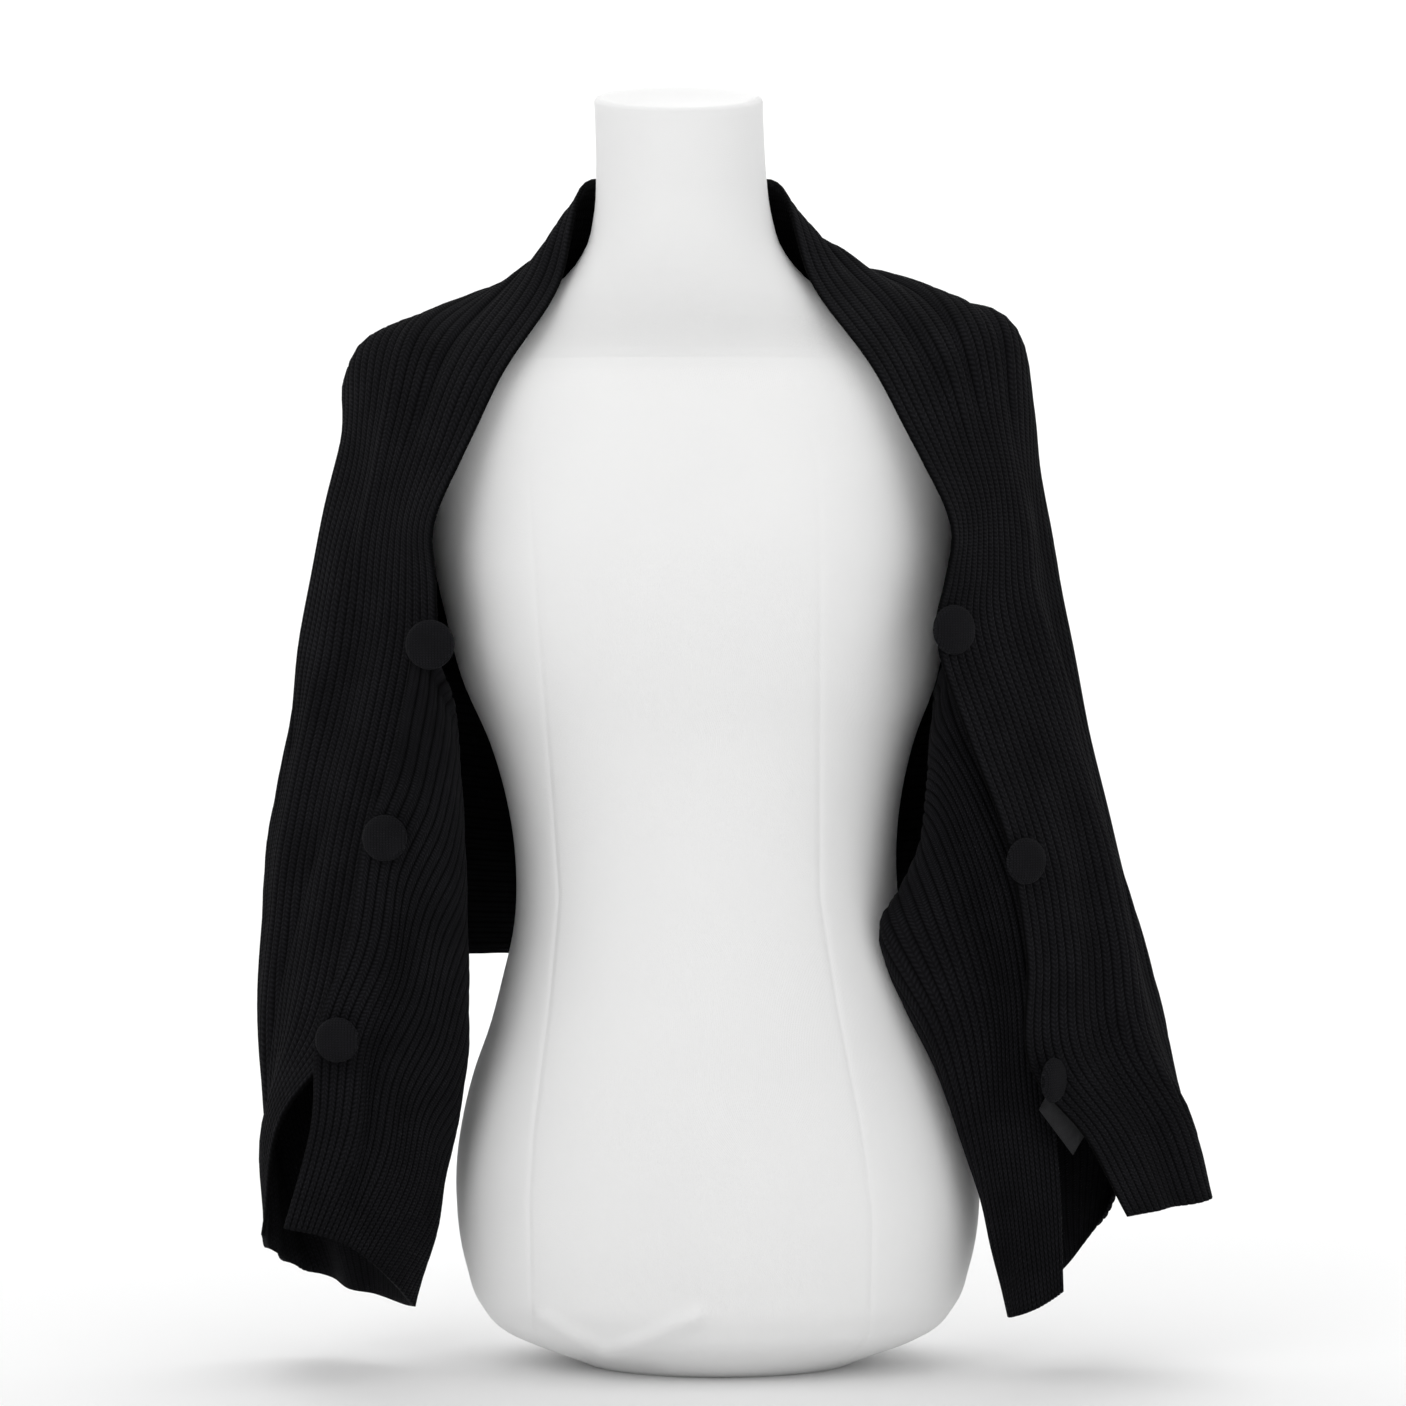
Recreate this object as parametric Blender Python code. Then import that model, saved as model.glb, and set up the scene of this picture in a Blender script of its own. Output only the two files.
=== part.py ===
"""A rib-knit shrug draped on a limbless dress form.

Lengths are in metres. X runs to the viewer's right, Y away from the viewer and Z up.
The origin is the middle of the form's flat base.
The shrug is one straight knitted panel: u is the distance along its ribs from the middle of
the back, and v goes across the ribs, from 0 at the neck edge to 1 at the hem edge.
"""

import math

import bpy
import numpy as np
from mathutils import Vector
from mathutils.bvhtree import BVHTree

MM = 0.001

# Knit
RIBS = 76
WALL = 2.0 * MM
RIB_HEIGHT = 0.9 * MM
BACK_INNER_STEP = 4
SLEEVE_INNER_STEP = 2
CREASE_COLUMNS = (92, 116)
BACK_CLEARANCE = 1.6 * MM
SLEEVE_CLEARANCE = 5.0 * MM
SEAM_GAP = 0.8 * MM
CORNER_GAP = 1.7 * MM
SLEEVE_START = 300 * MM
PANEL_WIDTH = 480 * MM
FINE_STEPS = 400
KNOT_POWER = 0.7
SHARE_BEND = 0.06

# Dress form
LEAN = -0.036
LEAN_FROM = 102 * MM
FORM_SEGMENTS = 28
NECK_TILT = 0.31
NECK_TILT_FROM = 730 * MM
NECK_TOP = 797 * MM
DISH_DEPTH = 9 * MM

# Buttons
BUTTON_HEIGHT = 7.0 * MM
BUTTON_GAP = 0.3 * MM
BUTTON_SEGMENTS = 16
SEAT_RINGS = 21
SEAT_ANGLES = 64
BUTTON_REACH = 80 * MM

# Cross-sections of the form in mm:
# height, half width, depth in front, depth behind, squareness
FORM_SECTIONS = (
    (0, 82, 52, 60, 2.0),
    (5, 93, 63, 71, 2.0),
    (12, 112, 75, 84, 2.0),
    (22, 134, 88, 96, 2.1),
    (38, 149, 97, 104, 2.15),
    (62, 158, 101, 109, 2.2),
    (92, 163.5, 103, 112, 2.2),
    (125, 163.5, 103, 112, 2.2),
    (155, 158.5, 101, 108, 2.2),
    (185, 150, 98, 102, 2.2),
    (212, 139.5, 95, 96, 2.2),
    (242, 130.5, 91, 88, 2.2),
    (275, 122, 87, 81, 2.2),
    (312, 119.5, 84, 76, 2.2),
    (350, 123, 86, 77, 2.2),
    (390, 133, 93, 81, 2.2),
    (430, 149, 104, 86, 2.2),
    (470, 158, 113, 90, 2.2),
    (505, 165, 113, 92, 2.2),
    (545, 171, 101, 93, 2.2),
    (585, 181, 84, 88, 2.2),
    (612, 188, 70, 80, 2.2),
    (628, 182, 60, 72, 2.1),
    (641, 156, 52, 66, 2.0),
    (653, 126, 47, 61, 2.0),
    (666, 100, 45, 58, 2.0),
    (681, 78, 45, 57, 2.0),
    (699, 63, 48, 55, 2.0),
    (722, 56, 50, 52, 2.0),
    (750, 53.5, 51, 50, 2.0),
    (780, 53, 51.5, 49, 2.0),
)

# Sections across the back in mm, from the neck edge to the hem edge. Each names seven places:
# neck edge, over the shoulder, back, lower back, above the hem twice, hem edge.
# x is measured outwards from the form's middle line.
# u, x y z of each place in that order, then v at the fifth place
MIDDLE_SECTIONS = (
    (0, 0, 62, 748, 0, 82, 640, 0, 100, 520, 0, 100, 400, 0, 99, 320, 0, 98, 284, 0, 98, 250, 0.86),
    (50, 42, 42, 750, 52, 74, 648, 52, 99, 520, 52, 99, 400, 52, 98, 320, 52, 97, 284, 52, 97, 250, 0.86),
    (95, 60, 6, 743, 92, 44, 666, 98, 93, 530, 98, 96, 400, 98, 95, 320, 98, 94, 284, 98, 94, 250, 0.86),
)

LEFT_SECTIONS = (
    (170, 77, -30, 678, 139, 14, 668, 154, 76, 565, 140, 94, 420,
     134, 93, 327, 132, 91, 288, 132, 90, 251, 0.85),
    (260, 117, -76, 607, 207, 2, 636, 205, 68, 548, 180, 88, 425,
     160, 90, 329, 155, 88, 289, 152, 86, 251, 0.85),
    (300, 137, -88, 566, 213, -3, 598, 215, 62, 530, 191, 84, 420,
     170, 88, 330, 164, 86, 290, 160, 84, 251, 0.85),
)

RIGHT_SECTIONS = (
    (170, 77, -30, 680, 139, 12, 682, 156, 74, 572, 140, 94, 420,
     134, 93, 327, 132, 91, 288, 132, 90, 251, 0.85),
    (260, 117, -76, 609, 206, 0, 648, 204, 68, 552, 180, 88, 425,
     160, 90, 329, 155, 88, 289, 152, 86, 251, 0.85),
    (300, 137, -88, 566, 211, -3, 604, 213, 62, 534, 190, 84, 420,
     170, 88, 330, 164, 86, 290, 160, 84, 251, 0.85),
)

# Sections round each sleeve in mm below its seam. Each names seven places:
# front edge, outer side, back, lower side behind, inner side in front, inner border of the
# buttoned lap, hem edge.
# u, x y z of each place in that order, then v at the fourth and at the fifth place
LEFT_SLEEVE = (
    (345, 156, -97, 522, 218, -6, 560, 222, 58, 486, 176, 70, 243,
     156, -20, 310, 153, -80, 400, 171, -99, 452, 0.708, 0.81),
    (390, 157, -92, 488, 228, -14, 512, 230, 54, 441, 186, 56, 231,
     154, -38, 300, 155, -91, 394, 175, -99, 434, 0.692, 0.81),
    (428, 158, -85, 450, 237, -20, 465, 238, 50, 398, 193, 44, 217,
     152, -54, 288, 158, -94, 384, 179, -99, 414, 0.665, 0.80),
    (490, 170, -84, 395, 246, -26, 405, 246, 45, 335, 201, 30, 193,
     150, -66, 258, 166, -97, 352, 188, -99, 377, 0.625, 0.79),
    (553, 186, -84, 338, 260, -28, 345, 256, 38, 270, 204, 20, 164,
     151, -66, 213, 182, -97, 308, 205, -99, 332, 0.59, 0.75),
    (615, 200, -84, 278, 269, -28, 285, 264, 34, 210, 205, 13, 131,
     158, -62, 168, 194, -97, 260, 216, -99, 276, 0.561, 0.72),
    (680, 219, -85, 216, 276, -26, 218, 271, 30, 160, 209, 8, 100,
     169, -56, 126, 213, -98, 208, 238, -100, 216, 0.53, 0.68),
    (735, 264, -72, 160, 280, -30, 148, 271, 27, 112, 209, -2, 68,
     177, -53, 88, 215, -97, 152, 243, -99, 163, 0.5, 0.65),
    (795, 282, -30, 84, 279, 6, 66, 256, 24, 52, 214, 0, 42,
     190, -50, 45, 228, -94, 90, 262, -95, 99, 0.47, 0.60),
)

RIGHT_SLEEVE = (
    (345, 154, -99, 522, 214, -6, 565, 220, 58, 490, 176, 70, 243,
     155, -20, 312, 144, -62, 402, 160, -80, 448, 0.709, 0.81),
    (390, 150, -101, 488, 219, -15, 520, 226, 54, 446, 186, 56, 231,
     150, -38, 306, 143, -72, 396, 162, -79, 432, 0.687, 0.81),
    (428, 143, -101, 459, 223, -22, 480, 231, 48, 404, 191, 43, 217,
     138, -54, 310, 146, -78, 386, 165, -78, 410, 0.672, 0.80),
    (490, 160, -101, 395, 236, -30, 402, 240, 42, 342, 197, 26, 191,
     121, -66, 302, 160, -79, 350, 180, -75, 368, 0.632, 0.79),
    (553, 182, -100, 325, 250, -35, 335, 254, 36, 282, 200, 15, 166,
     109, -66, 278, 178, -77, 300, 199, -71, 315, 0.612, 0.77),
    (615, 190, -98, 262, 264, -38, 272, 264, 32, 222, 203, 8, 139,
     136, -70, 210, 184, -77, 241, 205, -70, 257, 0.585, 0.76),
    (680, 191, -94, 195, 280, -38, 208, 274, 26, 170, 208, 2, 108,
     157, -68, 138, 184, -77, 175, 206, -70, 188, 0.57, 0.76),
    (735, 224, -87, 151, 296, -38, 154, 276, 20, 138, 214, -2, 84,
     169, -66, 88, 186, -76, 116, 208, -71, 130, 0.56, 0.77),
    (795, 248, -80, 103, 307, -32, 109, 266, 10, 112, 219, -8, 62,
     180, -60, 39, 192, -76, 46, 210, -74, 57, 0.55, 0.78),
)

# Hem edge under each arm in mm, from the corner of the back to the first button
LEFT_HEM = (
    (163, 83, 251), (160, 44, 288), (157, 2, 330), (152, -55, 396), (153, -86, 424), (166, -99, 466),
)
RIGHT_HEM = (
    (163, 83, 251), (160, 44, 288), (156, 2, 331), (146, -46, 402), (147, -68, 430), (158, -80, 460),
)

# Ribs up to this v run on from the back into the sleeve, and this v of the sleeve starts
# at the corner of the back
KEPT_V = 0.42
CORNER_V = 27 / 38
CREASE_V = 0.62

# Largest folds that run along the panel in mm. Side is -1 for the viewer's left, 1 for the right.
# side, u from, u to, v at the start, v at the end, half width, height (a trough is negative)
FOLDS = (
    (-1, 540, 800, 0.930, 0.875, 24, -7),
    (-1, 380, 900, 0.13, 0.16, 27, -5),
    (-1, 300, 900, 0.26, 0.30, 30, 5),
    (-1, 450, 900, 0.42, 0.38, 34, -7),
    (1, 500, 900, 0.13, 0.10, 24, -5),
    (1, 330, 900, 0.24, 0.22, 28, -6),
    (1, 430, 700, 0.90, 0.88, 30, -5),
    (1, 450, 900, 0.42, 0.38, 34, -7),
    (1, 100, 290, 0.11, 0.08, 22, -3.5),
    (-1, 100, 280, 0.12, 0.09, 22, -3.5),
)
FOLD_FADE = 70

# Radius and height of the button's rings, as shares of its own
BUTTON_PROFILE = ((0.72, 0.0), (0.97, 0.22), (1.0, 0.45), (0.86, 0.78), (0.5, 0.96))

# Buttons in mm: name, side, x outwards from the form's middle line, z, diameter,
# turn outwards from the front in degrees
BUTTONS = (
    ("button_left_1", -1, 160, 450, 30, 8),
    ("button_left_2", -1, 191, 334, 28, 12),
    ("button_left_3", -1, 224, 213, 27, 10),
    ("button_right_1", 1, 152, 459, 30, 30),
    ("button_right_2", 1, 190, 320, 28, 30),
    ("button_right_3", 1, 196, 188, 27, 56),
)

# Corners of the blank label in mm, sewn under the right sleeve's front edge below the buttons
LABEL_CORNERS = ((205, -86.9, 184), (225, -81.9, 154), (216, -84.9, 141), (196, -89.9, 169))
LABEL_THICKNESS = 0.8 * MM

# Rows of the panel's mesh in mm along the ribs
BACK_ROWS = (0, 22, 44, 68, 96, 130, 165, 205, 250, 300)
SLEEVE_ROWS = (300, 340, 390, 450, 530, 610, 700, 795)


def hermite(knots, values, at):
    """A smooth curve through the values at the knots, read at each place in `at`."""
    knots = np.asarray(knots, float)
    values = np.asarray(values, float)
    at = np.asarray(at, float)
    steps = np.diff(knots)
    shape = (-1,) + (1,) * (values.ndim - 1)
    slopes = np.diff(values, axis=0) / steps.reshape(shape)
    before = steps[:-1].reshape(shape)
    after = steps[1:].reshape(shape)
    tangents = np.empty_like(values)
    tangents[0] = slopes[0]
    tangents[-1] = slopes[-1]
    tangents[1:-1] = (slopes[:-1] * after + slopes[1:] * before) / (before + after)
    index = np.clip(np.searchsorted(knots, at, side="right") - 1, 0, len(steps) - 1)
    h = steps[index].reshape(shape)
    t = ((at - knots[index]) / steps[index]).reshape(shape)
    a = values[index]
    b = values[index + 1]
    m = tangents[index] * h
    n = tangents[index + 1] * h
    return (
        a * (2 * t**3 - 3 * t**2 + 1)
        + m * (t**3 - 2 * t**2 + t)
        + b * (3 * t**2 - 2 * t**3)
        + n * (t**3 - t**2)
    )


def lean(z):
    return LEAN * np.maximum(z - LEAN_FROM, 0.0)


def length_knots(places):
    chords = np.linalg.norm(np.diff(places, axis=0), axis=1)
    return np.concatenate([[0.0], np.cumsum(chords**KNOT_POWER)])


def curve_through(places):
    """A smooth curve through the places: its parameters, the lengths up to them, its points."""
    knots = length_knots(places)
    spots = np.linspace(0, knots[-1], FINE_STEPS)
    fine = hermite(knots, places, spots)
    lengths = np.linalg.norm(np.diff(fine, axis=0), axis=1)
    return spots, np.concatenate([[0.0], np.cumsum(lengths)]), fine


def along_section(places, share, fractions):
    """Points of a smooth curve through seven places. `share` is the v of the fifth place."""
    spots, travelled, fine = curve_through(places)
    fifth = np.interp(length_knots(places)[4], spots, travelled)
    bend = SHARE_BEND
    table_v = (0.0, share - bend, share + bend, 1.0)
    rate_before = fifth / share
    rate_after = (travelled[-1] - fifth) / (1 - share)
    table_s = (0.0, fifth - bend * rate_before, fifth + bend * rate_after, travelled[-1])
    wanted = hermite(table_v, table_s, fractions)
    return np.stack([np.interp(wanted, travelled, fine[:, k]) for k in range(3)], axis=1)


def round_sleeve(places, shares, fractions):
    """Points round a sleeve: the kept ribs at their own width, the rest shared out."""
    spots, travelled, fine = curve_through(places)
    knots = length_knots(places)
    fourth, fifth = np.interp(knots[3:5], spots, travelled)
    kept = KEPT_V * min(PANEL_WIDTH, fourth / shares[0])
    table_v = (0.0, KEPT_V / 2, KEPT_V, shares[0], shares[1], 1.0)
    table_s = (0.0, kept / 2, kept, fourth, fifth, travelled[-1])
    wanted = hermite(table_v, table_s, fractions)
    return np.stack([np.interp(wanted, travelled, fine[:, k]) for k in range(3)], axis=1)


def fold_height(distances, fractions):
    """How far the folds move each point of the grid out of the sheet."""
    total = np.zeros((len(distances), len(fractions)))
    u = np.asarray(distances)[:, None] / MM
    v = np.asarray(fractions)[None, :] * PANEL_WIDTH / MM
    for side, start, end, v_start, v_end, half, height in FOLDS:
        along = np.clip((side * u - start) / (end - start), 0, 1)
        centre = (v_start + (v_end - v_start) * along) * PANEL_WIDTH / MM
        near = np.clip(np.abs(v - centre) / half, 0, 1)
        across = (1 + np.cos(math.pi * near)) / 2
        rise = np.clip((side * u - start) / FOLD_FADE, 0, 1)
        fall = np.clip((end - side * u) / FOLD_FADE, 0, 1)
        total += height * across * smooth(rise) * smooth(fall)
    return total * MM


def smooth(t):
    return t * t * (3 - 2 * t)


def section_of(row, side):
    places = np.array(row[1:22], float).reshape(7, 3) * MM
    places[:, 0] *= side
    return places


def panel_surface(distances, fractions):
    """The inner face of the back as a grid of points."""
    rows = []
    for row in reversed(MIDDLE_SECTIONS[1:] + LEFT_SECTIONS):
        rows.append((-row[0] * MM, section_of(row, -1), row[22]))
    for row in MIDDLE_SECTIONS + RIGHT_SECTIONS:
        rows.append((row[0] * MM, section_of(row, 1), row[22]))
    knots = [u for u, _, _ in rows]
    curves = [along_section(places, share, fractions) for _, places, share in rows]
    grid = hermite(knots, curves, distances)
    grid[..., 0] += lean(grid[..., 2])
    return grid


def top_of_sleeve(side, fractions):
    """The sleeve's first row: beside the back's last row, then along the hem edge."""
    sections = LEFT_SECTIONS if side < 0 else RIGHT_SECTIONS
    hem = np.array(LEFT_HEM if side < 0 else RIGHT_HEM, float) * MM
    hem[:, 0] *= side
    last = sections[-1]
    beside = fractions[fractions <= CORNER_V]
    points = along_section(section_of(last, side), last[22], seam_v(beside))
    _, travelled, fine = curve_through(hem)
    share = (fractions[fractions > CORNER_V] - CORNER_V) / (1 - CORNER_V)
    edge = [np.interp(share * travelled[-1], travelled, fine[:, k]) for k in range(3)]
    return np.concatenate([points, np.stack(edge, axis=1)])


def seam_v(fractions):
    """v on the back's last row beside each v of the sleeve."""
    table_v = (0.0, KEPT_V / 2, KEPT_V, CORNER_V)
    return np.clip(hermite(table_v, (0.0, KEPT_V / 2, KEPT_V, 1.0), fractions), 0, 1)


def sleeve_surface(side, distances, fractions):
    """The inner face of a sleeve as a grid of points, from its top down to the cuff."""
    rows = LEFT_SLEEVE if side < 0 else RIGHT_SLEEVE
    knots = [SLEEVE_START] + [row[0] * MM for row in rows]
    curves = [top_of_sleeve(side, fractions)]
    for row in rows:
        curves.append(round_sleeve(section_of(row, side), row[22:24], fractions))
    grid = hermite(knots, curves, distances)
    grid[..., 0] += lean(grid[..., 2])
    return grid


def form_points():
    """Rings of the form from the base up, then the rings of the dished neck top."""
    rings = []
    angles = np.linspace(0, 2 * math.pi, FORM_SEGMENTS, endpoint=False)
    rows = list(FORM_SECTIONS)
    last = rows[-1]
    top = NECK_TOP / MM
    for height, share in ((top - 6, 1.01), (top, 1.01), (top, 0.86)):
        rows.append((height, last[1] * share, last[2] * share, last[3] * share, 2.0))
    rows.append((top - DISH_DEPTH / MM, last[1] * 0.6, last[2] * 0.6, last[3] * 0.6, 2.0))
    for height, half, front, back, power in rows:
        c = np.cos(angles)
        s = np.sin(angles)
        x = half * np.sign(c) * np.abs(c) ** (2 / power)
        y = np.sign(s) * np.abs(s) ** (2 / power)
        y = np.where(y > 0, y * back, y * front)
        raised = max(height * MM - NECK_TILT_FROM, 0.0) / (NECK_TOP - NECK_TILT_FROM)
        z = height + NECK_TILT * min(raised, 1.0) * y
        ring = np.stack([x, y, z], axis=1) * MM
        ring[:, 0] += lean(ring[:, 2])
        rings.append(ring)
    return rings


def material(name, colour, roughness):
    made = bpy.data.materials.new(name)
    made.use_nodes = True
    shader = made.node_tree.nodes["Principled BSDF"]
    shader.inputs["Base Color"].default_value = (*colour, 1.0)
    shader.inputs["Roughness"].default_value = roughness
    return made


def solid(name, points, faces, look):
    mesh = bpy.data.meshes.new(name)
    mesh.from_pydata([tuple(p) for p in points], [], faces)
    mesh.validate()
    mesh.update()
    made = bpy.data.objects.new(name, mesh)
    made.data.materials.append(look)
    collection.objects.link(made)
    return made


def tree_of(item):
    mesh = item.data
    return BVHTree.FromPolygons(
        [v.co for v in mesh.vertices], [tuple(p.vertices) for p in mesh.polygons]
    )


def dress_form(look):
    rings = form_points()
    count = FORM_SEGMENTS
    points = [p for ring in rings for p in ring]
    faces = [tuple(reversed(range(count)))]
    for r in range(len(rings) - 1):
        for k in range(count):
            a = r * count + k
            b = r * count + (k + 1) % count
            faces.append((a, b, b + count, a + count))
    middle = len(points)
    points.append(rings[-1].mean(axis=0))
    start = (len(rings) - 1) * count
    for k in range(count):
        faces.append((start + k, start + (k + 1) % count, middle))
    return solid("dress_form", points, faces, look)


def clear_of(tree, grid, gap):
    """Moves each point that is inside the form, or nearer than the gap, out to the gap."""
    moved = grid.copy()
    for index in np.ndindex(grid.shape[:2]):
        point = Vector(grid[index])
        near, normal, _, distance = tree.find_nearest(point)
        outside = (point - near).dot(normal)
        signed = math.copysign(distance, outside)
        if signed < gap:
            away = (point - near).normalized() if outside > 1e-5 else normal
            moved[index] = near + away * gap
    return moved


def normals_of(grid):
    """The mean direction of the faces round each point."""
    first = grid[1:, 1:] - grid[:-1, :-1]
    second = grid[:-1, 1:] - grid[1:, :-1]
    faces = np.pad(unit(np.cross(first, second)), ((1, 1), (1, 1), (0, 0)), mode="edge")
    return unit(faces[1:, 1:] + faces[1:, :-1] + faces[:-1, 1:] + faces[:-1, :-1])


def unit(vectors):
    return vectors / np.linalg.norm(vectors, axis=-1, keepdims=True)


def back_grid(distances, fractions, tree):
    """Inner points of the back with its folds, clear of the form, and their normals."""
    grid = panel_surface(distances, fractions)
    grid = grid + normals_of(grid) * fold_height(distances, fractions)[..., None]
    grid = clear_of(tree, grid, BACK_CLEARANCE)
    return grid, normals_of(grid)


def sleeve_grid(side, distances, fractions, tree, back_row, back_normals):
    """Inner points of a sleeve and their normals. Its top stays a gap from the back's last row."""
    grid = sleeve_surface(side, distances, fractions)
    outward = normals_of(grid) * side
    height = fold_height(side * distances, fractions)
    height[0] = 0.0
    grid = grid + outward * height[..., None]
    grid = clear_of(tree, grid, SLEEVE_CLEARANCE)
    beside = fractions <= CORNER_V
    v = seam_v(fractions[beside])
    at = np.linspace(0, 1, len(back_row))
    grid[0, beside] = np.stack([np.interp(v, at, back_row[:, k]) for k in range(3)], axis=1)
    normals = normals_of(grid) * side
    taken = np.stack([np.interp(v, at, back_normals[:, k]) for k in range(3)], axis=1)
    own = smooth(np.clip((fractions[beside] - CREASE_V) / (CORNER_V - CREASE_V), 0, 1))[:, None]
    normals[0, beside] = unit(unit(taken) * (1 - own) + normals[0, beside] * own)
    towards_corner = smooth(np.clip((fractions - KEPT_V) / (CREASE_V - KEPT_V), 0, 1))
    gap = SEAM_GAP + CORNER_GAP * np.where(beside, towards_corner, 0.0)
    for part in (beside, ~beside):
        across = unit(np.gradient(grid[0, part], axis=0))
        away = unit(np.cross(across, normals[0, part])) * side
        grid[0, part] += away * gap[part, None]
    return grid, normals


def knit(name, grid, normals, look, picks):
    """One length of the panel: a plain inner wall, and an outer wall with the ribs raised.

    The inner wall has only the columns in `picks`.
    """
    columns = grid.shape[1]
    height = np.full(columns, WALL)
    height[1::2] += RIB_HEIGHT
    inner = grid
    outer = inner + normals * height[None, :, None]
    inner = inner[:, picks]
    rows = len(grid)
    few = inner.shape[1]
    points = list(outer.reshape(-1, 3)) + list(inner.reshape(-1, 3))
    base = rows * columns
    faces = []
    for r in range(rows - 1):
        for c in range(columns - 1):
            a = r * columns + c
            faces.append((a, a + columns, a + columns + 1))
            faces.append((a, a + columns + 1, a + 1))
        for c in range(few - 1):
            a = base + r * few + c
            faces.append((a, a + few + 1, a + few))
            faces.append((a, a + 1, a + few + 1))
        a = r * columns
        b = base + r * few
        faces.append((a, b, b + few, a + columns))
        a = r * columns + columns - 1
        b = base + r * few + few - 1
        faces.append((a, a + columns, b + few, b))
    for c in range(few - 1):
        first = list(range(picks[c], picks[c + 1] + 1))
        faces.append(tuple(first + [base + c + 1, base + c]))
        last = [(rows - 1) * columns + k for k in first]
        end = base + (rows - 1) * few
        faces.append(tuple(reversed(last + [end + c + 1, end + c])))
    return solid(name, points, faces, look)


def button(name, side, x, z, diameter, turn, look, tree):
    """A domed button on the front of a sleeve, seated on the highest cloth under it."""
    turned = math.radians(turn)
    out = Vector((side * math.sin(turned), -math.cos(turned), 0.0))
    middle = Vector((side * x * MM + lean(z * MM), -BUTTON_REACH, z * MM))
    hit, _, _, _ = tree.ray_cast(middle - Vector((0, BUTTON_REACH, 0)), Vector((0, 1, 0)))
    point = hit
    radius = diameter / 2 * MM
    tangent = Vector((0, 0, 1))
    other = out.cross(tangent)
    highest = -BUTTON_HEIGHT
    rims = [share for share, _ in BUTTON_PROFILE[:3]]
    heights = [height for _, height in BUTTON_PROFILE[:3]]
    for ring in np.linspace(0.0, 1.0, SEAT_RINGS):
        raised = float(np.interp(ring, rims, heights))
        for k in range(SEAT_ANGLES):
            angle = 2 * math.pi * k / SEAT_ANGLES
            aside = (tangent * math.cos(angle) + other * math.sin(angle)) * radius * ring
            hit, _, _, distance = tree.ray_cast(point + aside + out * BUTTON_REACH, -out)
            if hit is not None:
                highest = max(highest, BUTTON_REACH - distance - raised * BUTTON_HEIGHT)
    start = point + out * (highest + BUTTON_GAP)
    points = [start]
    faces = []
    for share, height in BUTTON_PROFILE:
        for k in range(BUTTON_SEGMENTS):
            angle = 2 * math.pi * k / BUTTON_SEGMENTS
            aside = tangent * math.cos(angle) + other * math.sin(angle)
            points.append(start + aside * radius * share + out * BUTTON_HEIGHT * height)
    points.append(start + out * BUTTON_HEIGHT)
    count = BUTTON_SEGMENTS
    for k in range(count):
        after = (k + 1) % count
        faces.append((0, 1 + after, 1 + k))
        for r in range(len(BUTTON_PROFILE) - 1):
            a = 1 + r * count
            faces.append((a + k, a + after, a + count + after, a + count + k))
        a = 1 + (len(BUTTON_PROFILE) - 1) * count
        faces.append((a + k, a + after, len(points) - 1))
    return solid(name, points, faces, look)


def label(look):
    corners = np.array(LABEL_CORNERS) * MM
    corners[:, 0] += lean(corners[:, 2])
    behind = corners + np.array([0.0, LABEL_THICKNESS, 0.0])
    points = np.concatenate([corners, behind])
    faces = [(3, 2, 1, 0), (4, 5, 6, 7)]
    for k in range(4):
        after = (k + 1) % 4
        faces.append((k, after, after + 4, k + 4))
    return solid("label", points, faces, look)


def remove_all():
    for item in list(bpy.data.objects):
        bpy.data.objects.remove(item, do_unlink=True)


remove_all()
collection = bpy.data.collections.new("knitted_shrug")
bpy.context.scene.collection.children.link(collection)
cover = material("white_cover", (0.86, 0.86, 0.85), 0.7)
yarn = material("black_knit", (0.012, 0.012, 0.014), 0.9)

form = dress_form(cover)
form_tree = tree_of(form)
across = np.linspace(0, 1, 2 * RIBS + 1)
half = np.array(BACK_ROWS, float) * MM
whole = np.concatenate([-half[:0:-1], half])
back, back_out = back_grid(whole, across, form_tree)
knit("back_panel", back, back_out, yarn, list(range(0, len(across), BACK_INNER_STEP)))
down = np.array(SLEEVE_ROWS, float) * MM
right, right_out = sleeve_grid(1, down, across, form_tree, back[-1], back_out[-1])
left, left_out = sleeve_grid(-1, down, across, form_tree, back[0], back_out[0])
picks = set(range(0, len(across), SLEEVE_INNER_STEP)) | set(range(*CREASE_COLUMNS))
picks = sorted(picks)
sleeve_right = knit("sleeve_right", right, right_out, yarn, picks)
sleeve_left = knit("sleeve_left", left[::-1], left_out[::-1], yarn, picks)
covered = material("black_button_knit", (0.016, 0.016, 0.018), 0.9)
sleeve_trees = {1: tree_of(sleeve_right), -1: tree_of(sleeve_left)}
for name, side, x, z, diameter, turn in BUTTONS:
    button(name, side, x, z, diameter, turn, covered, sleeve_trees[side])
label(material("black_satin", (0.03, 0.03, 0.033), 0.35))
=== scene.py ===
"""The looks of a rib-knit shrug draped on a limbless dress form.

Lengths are in metres. X runs to the viewer's right, Y away from the viewer and Z up.
u is the distance along the knit's ribs from the middle of the back, and v goes across
the ribs, from 0 at the neck edge to 1 at the hem edge.
"""

import math

import bpy
import numpy as np
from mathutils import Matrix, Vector
from mathutils.bvhtree import BVHTree


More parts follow.
